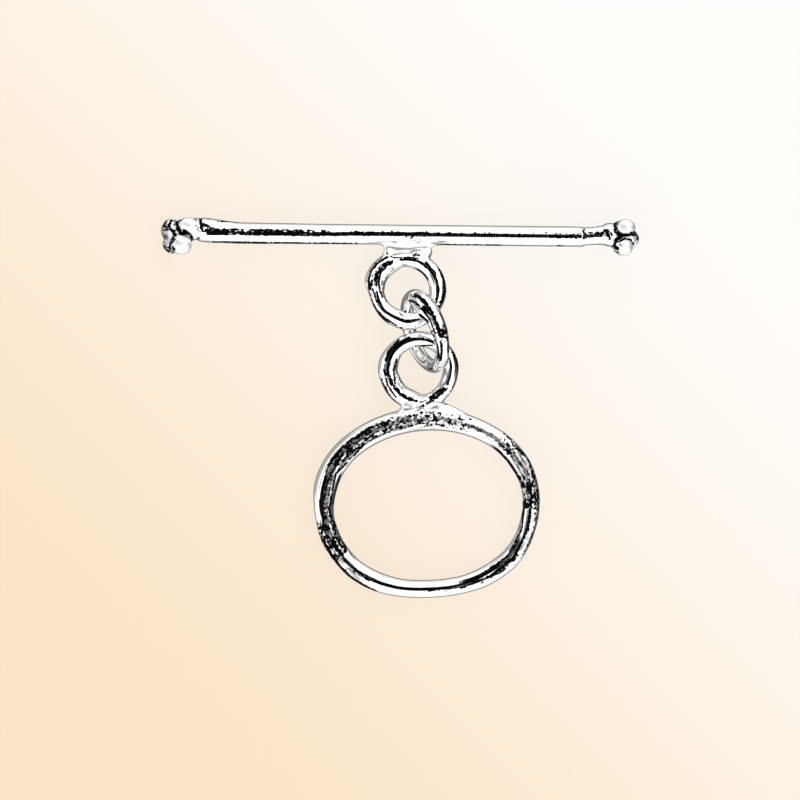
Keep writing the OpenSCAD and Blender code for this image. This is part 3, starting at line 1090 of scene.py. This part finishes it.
# Lines in its solder: depth, half width, darkness and points (x, y)
RING_CREASES = [
    (0.05, 0.24, 0.85, [(0.59, 6.63), (1.01, 6.89), (1.5, 7.17)]),
    (0.04, 0.15, 0.62, [(-0.29, 5.98), (0.16, 6.21), (0.52, 6.44)]),
    (0.03, 0.1, 0.62, [(0.58, 6.49), (1.04, 6.35), (1.6, 6.18)]),
]
# Dark lines painted along its wire as reflections of dark surroundings: darkness, half width and points
# (angle, outwards in wire radii)
RING_LOOP_PAINTED_REFLECTIONS = [
    (0.95, 0.14, [(63, 0.05), (85, 0.16), (110, 0.37)]),
    (0.97, 0.16, [(105, 0.35), (128, 0.3), (150, 0.05), (166, -0.03)]),
    (0.95, 0.13, [(160, 0), (172, -0.05), (186, 0.16), (197, 0.43)]),
    (0.9, 0.12, [(120, 0.75), (145, 0.64), (175, 0.46), (200, 0.38), (224, 0.43)]),
    (0.9, 0.1, [(60, -0.38), (75, -0.72), (95, -0.86)]),
    (0.85, 0.11, [(148, -0.75), (175, -0.8), (195, -0.72), (208, -0.52)]),
    (0.85, 0.14, [(190, -0.2), (196, -0.35)]),
    (0.9, 0.16, [(231, -0.38), (237, -0.4)]),
    (0.9, 0.15, [(249, -0.27), (261, -0.25)]),
    (0.9, 0.14, [(-16, 0.97), (-2, 0.92), (12, 0.9), (27, 0.8)]),
]
# Grey haze on the loop, grey painted as shade over a grey film, likewise
RING_FILM_AND_PAINTED_SHADE = [
    (0.55, 0.3, [(-36, -0.55), (-18, -0.5), (-4, -0.55)]),
    (0.6, 0.25, [(246, 0.4), (254, 0.55)]),
]


def stretch(angles, out, at, full, none, inner, outer):
    """1 in a stretch of the oval between two lines across its wire, 0 outside, and smooth in between."""
    half = (outer - inner) / 2
    return sector(angles, at, full, none) * hat(out - (inner + outer) / 2, half - 0.1, half + 0.15)


def wear_oval(ring, shape):
    """Presses the worn stretches of the oval flat."""
    co = places(ring)
    angles, out = on_oval(co, shape)
    top_amount = most(*[depth * stretch(angles, out, *where) for *where, depth in OVAL_WORN])
    deep = top_amount.max()
    flat = co[:, 2].max() - top_amount - 0.1
    push(ring, rise(co[:, 2], flat, deep) * (top_amount > 0.001), (0, 0, -deep * 0.7))
    return co, angles, out


def finish_ring(ring, shape):
    """Wears, pits, stains and bends the ring, paints dark lines on it as reflections and grey as shade, and
    writes its finish.
    """
    co, angles, out = wear_oval(ring, shape)
    on_wire = np.abs(out) < 1.6
    rough = most(*[strength * stretch(angles, out, *where) for *where, strength, _ in OVAL_ROUGH]) * on_wire
    stain_and_painted_reflection = most(*[stained * stretch(angles, out, *where) for *where, _, stained in OVAL_ROUGH])
    stain_and_painted_reflection *= on_wire * (co[:, 2] > 0)
    loop_angles = around(co, (0, shape.loop_y))
    on_loop = rise(co[:, 1], shape.top + 0.3, 0.3)
    loop_rough = np.maximum(sector(loop_angles, 215, 30, 50), sector(loop_angles, 310, 15, 30)) * on_loop
    hammer(ring, np.full(len(co), 0.5))
    pit(ring, np.maximum(rough, 0.7 * loop_rough), depth=0.07)
    on_ring_loop = on_circle(shape.loop_y, shape.loop_r, shape.loop_wire_r)
    # Real stains and creases, with dark lines painted as reflections of dark surroundings; below, grey
    # painted as shade
    stain_and_painted_reflection = most(
        stain_and_painted_reflection,
        crease(ring, RING_CREASES),
        draw_lines(co, RING_LOOP_PAINTED_REFLECTIONS, on_ring_loop),
        draw_lines(co, OVAL_PAINTED_REFLECTIONS, shape.place),
    )
    film_and_painted_shade = np.maximum(draw_lines(co, RING_FILM_AND_PAINTED_SHADE, on_ring_loop), draw_lines(co, OVAL_FILM_AND_PAINTED_SHADE, shape.place))
    for at, full, none, reach in OVAL_BENT:
        x, y = heading(at)
        push(ring, sector(angles, at, full, none) * on_wire, (reach * x, reach * y, 0))

    co = places(ring)
    solder = hat(near_segment(co, (-1.0, shape.top, 0), (1.3, shape.top, 0)), 0.3, 0.9)
    loop_along, loop_across = round_loop(co, shape.loop_y, shape.loop_r)
    wire = (
        np.where(on_loop > 0, loop_along, np.radians(angles) * OVAL_MEAN_RADIUS),
        np.where(on_loop > 0, loop_across, np.arctan2(co[:, 2], out * shape.wire_r) * shape.wire_r),
    )
    finish_marks(ring, wire, solder, 0.4 * np.minimum(rough, 1), stain_and_painted_reflection, film_and_painted_shade, 1 - 0.7 * solder)


class CLASP_OT_ring(Operator):
    """Models the oval ring with its loop and solder, melted together"""

    bl_idname = "clasp.ring"
    bl_label = "Oval ring"

    def execute(self, context):
        size = millimetres(context.scene.clasp_ring)
        shape = oval_shape(size)
        oval = add_oval(shape)
        angles, _ = on_oval(places(oval), shape)
        for at, full, none, more in OVAL_THICK:
            thicken(oval, sector(angles, at, full, none), more)
        web_y = shape.top + 0.12
        parts = [
            oval,
            add_loop(shape.loop_y, shape.loop_r, shape.loop_wire_r, RING_LOOP_THICK, RING_LOOP_BENT),
            add_slab((0.1, web_y, 0), (2.2, 0.7, 0.4), rounding=0.1),
            *add_drops(RING_SOLDER),
        ]
        ring = join(parts, "oval_ring")
        fuse(ring, millimetres(context.scene.clasp_finish).voxel)
        melt(ring, hat(near_segment(places(ring), (-1.0, web_y, 0), (1.3, web_y, 0)), 0.4, 0.9), rounds=30)
        finish_ring(ring, shape)
        at = (
            (RING_LOW.x + RING_HIGH.x) / 2,
            RING_LOW.y + shape.top,
            shape.wire_r + shape.b * math.sin(size.tilt),
        )
        lay(ring, size.tilt, size.turn, at)
        finish(ring, "toggle_ring", silver_material(context.scene.clasp_finish))
        return {"FINISHED"}


# The stage


# Half the distance over which the table's colour changes, the table's width, and the camera's reach
TABLE_FADE = 38 * MM
TABLE_WIDTH = 3
VIEW_END = 10
# How brightly the lit table glows, and the share of it that is matt and takes shadows
TABLE_GLOW, TABLE_MATT = 0.985, 0.13


def table_material(settings):
    """A lit table top, peach at the lower left and ivory at the upper right."""
    material = bpy.data.materials.new("lit_table")
    tree = fresh_tree(material)
    place = shader_node(tree, "TexCoord").outputs["Object"]
    xyz = shader_node(tree, "SeparateXYZ", {"Vector": place})
    diagonal = math_node(tree, "ADD", xyz.outputs["X"], xyz.outputs["Y"])
    fade = smooth_step(tree, diagonal, -TABLE_FADE, TABLE_FADE)
    shade = blend(tree, fade, (*settings.table_near, 1), (*settings.table_far, 1), "RGBA")
    glow = shader_node(tree, "Emission", {"Color": shade, "Strength": TABLE_GLOW})
    matt = shader_node(tree, "BsdfDiffuse", {"Color": shade})
    inputs = {0: TABLE_MATT, 1: glow.outputs["Emission"], 2: matt.outputs["BSDF"]}
    surface = shader_node(tree, "MixShader", inputs)
    shader_node(tree, "OutputMaterial", {"Surface": surface.outputs["Shader"]})
    return material


# Dark things round the light tent: compass direction and half width in degrees, then from how far
# to how far below the zenith each reaches, how dark it is and how soft its edges are
SURROUNDINGS = [
    (0, 180, -20, 23.5, 1, 3),
    (133, 28, 10, 64, 1, 4),
    (186, 16, 10, 52, 0.85, 8),
    (4, 40, 88, 132, 0.95, 6),
    (2, 18, 57, 95, 0.96, 6),
    (220, 22, 86, 142, 1, 6),
    (156, 34, 82, 128, 0.72, 12),
    (90, 55, 98, 128, 0.5, 8),
    (270, 55, 104, 130, 0.45, 8),
    (0, 180, 124, 190, 0.86, 8),
]


def light_tent(scene, settings):
    """A white tent with a dark lens opening overhead and the dark things that silver shows as lines."""
    scene.world = bpy.data.worlds.new("light_tent")
    tree = fresh_tree(scene.world)
    way = shader_node(tree, "TexCoord").outputs["Generated"]
    xyz = shader_node(tree, "SeparateXYZ", {"Vector": way})
    level = shader_node(tree, "CombineXYZ", {"X": xyz.outputs["X"], "Y": xyz.outputs["Y"]})
    compass = shader_node(tree, "VectorMath", {0: level.outputs["Vector"]}, operation="NORMALIZE")
    below = math_node(tree, "DEGREES", math_node(tree, "ARCCOSINE", xyz.outputs["Z"]))
    dark = 0.0
    for direction, half, start, end, darkness, soft in SURROUNDINGS:
        panel = math_node(
            tree,
            "MULTIPLY",
            smooth_step(tree, below, start - soft, start + soft),
            smooth_step(tree, below, end + soft, end - soft),
        )
        if half < 180:
            inputs = {0: compass.outputs["Vector"], 1: (*heading(direction), 0)}
            toward = shader_node(tree, "VectorMath", inputs, operation="DOT_PRODUCT")
            aside = math_node(tree, "DEGREES", math_node(tree, "ARCCOSINE", toward.outputs["Value"]))
            panel = math_node(tree, "MULTIPLY", panel, smooth_step(tree, aside, half + soft, half - soft))
        dark = math_node(tree, "MAXIMUM", dark, math_node(tree, "MULTIPLY", panel, darkness))
    strength = math_node(tree, "MULTIPLY", math_node(tree, "SUBTRACT", 1.0, dark), settings.tent)
    tent = shader_node(tree, "Background", {"Color": (1, 1, 1, 1), "Strength": strength})
    inputs = {"Color": (*settings.table_far, 1), "Strength": 1.0}
    backdrop = shader_node(tree, "Background", inputs)
    seen = shader_node(tree, "LightPath").outputs["Is Camera Ray"]
    inputs = {0: seen, 1: tent.outputs["Background"], 2: backdrop.outputs["Background"]}
    mix = shader_node(tree, "MixShader", inputs)
    shader_node(tree, "OutputWorld", {"Surface": mix.outputs["Shader"]})


class CLASP_OT_stage(Operator):
    """Sets the table, the light tent and the camera that looks straight down"""

    bl_idname = "clasp.stage"
    bl_label = "Stage"

    def execute(self, context):
        scene = context.scene
        settings = scene.clasp_stage
        rest()
        bpy.ops.mesh.primitive_plane_add(size=TABLE_WIDTH, location=(0, 0, 0))
        table = bpy.context.active_object
        table.name = table.data.name = "table"
        table.data.materials.append(table_material(settings))
        table.visible_glossy = False
        light_tent(scene, settings)
        scene.view_settings.view_transform = "Standard"

        bpy.ops.object.camera_add()
        camera = bpy.context.active_object
        camera.name = "camera"
        camera.data.lens = settings.lens
        rod_height = scene.clasp_bar.ball_width
        distance = settings.view_width * settings.lens / camera.data.sensor_width
        camera.location = (0, settings.aim_above, rod_height + distance)
        camera.rotation_euler = (0, 0, 0)
        camera.data.clip_start = distance * 0.05
        camera.data.clip_end = VIEW_END
        scene.camera = camera
        return {"FINISHED"}


class CLASP_PT_panel(Panel):
    bl_label = "Toggle Clasp"
    bl_idname = "CLASP_PT_panel"
    bl_space_type = "VIEW_3D"
    bl_region_type = "UI"
    bl_category = "Toggle Clasp"

    def draw(self, context):
        for name, (_, operator) in GROUPS.items():
            box = self.layout.box()
            settings = getattr(context.scene, name)
            for prop in own_properties(settings):
                box.prop(settings, prop.identifier)
            if operator:
                box.operator(operator.bl_idname)


# Each group of settings, with its class and the operator that the panel shows under it
GROUPS = {
    "clasp_bar": (ClaspBarSizes, CLASP_OT_bar),
    "clasp_link": (ClaspLinkSizes, CLASP_OT_link),
    "clasp_ring": (ClaspRingSizes, CLASP_OT_ring),
    "clasp_finish": (ClaspFinish, None),
    "clasp_stage": (ClaspStage, CLASP_OT_stage),
}
CLASSES = [cls for row in GROUPS.values() for cls in row if cls] + [CLASP_PT_panel]


def register():
    for cls in CLASSES:
        bpy.utils.register_class(cls)
    for name, (group, _) in GROUPS.items():
        setattr(Scene, name, PointerProperty(type=group))


def unregister():
    for name in GROUPS:
        delattr(Scene, name)
    for cls in reversed(CLASSES):
        bpy.utils.unregister_class(cls)


def main():
    register()
    bpy.ops.clasp.bar()
    bpy.ops.clasp.link()
    bpy.ops.clasp.ring()
    bpy.ops.clasp.stage()


if __name__ == "__main__":
    main()
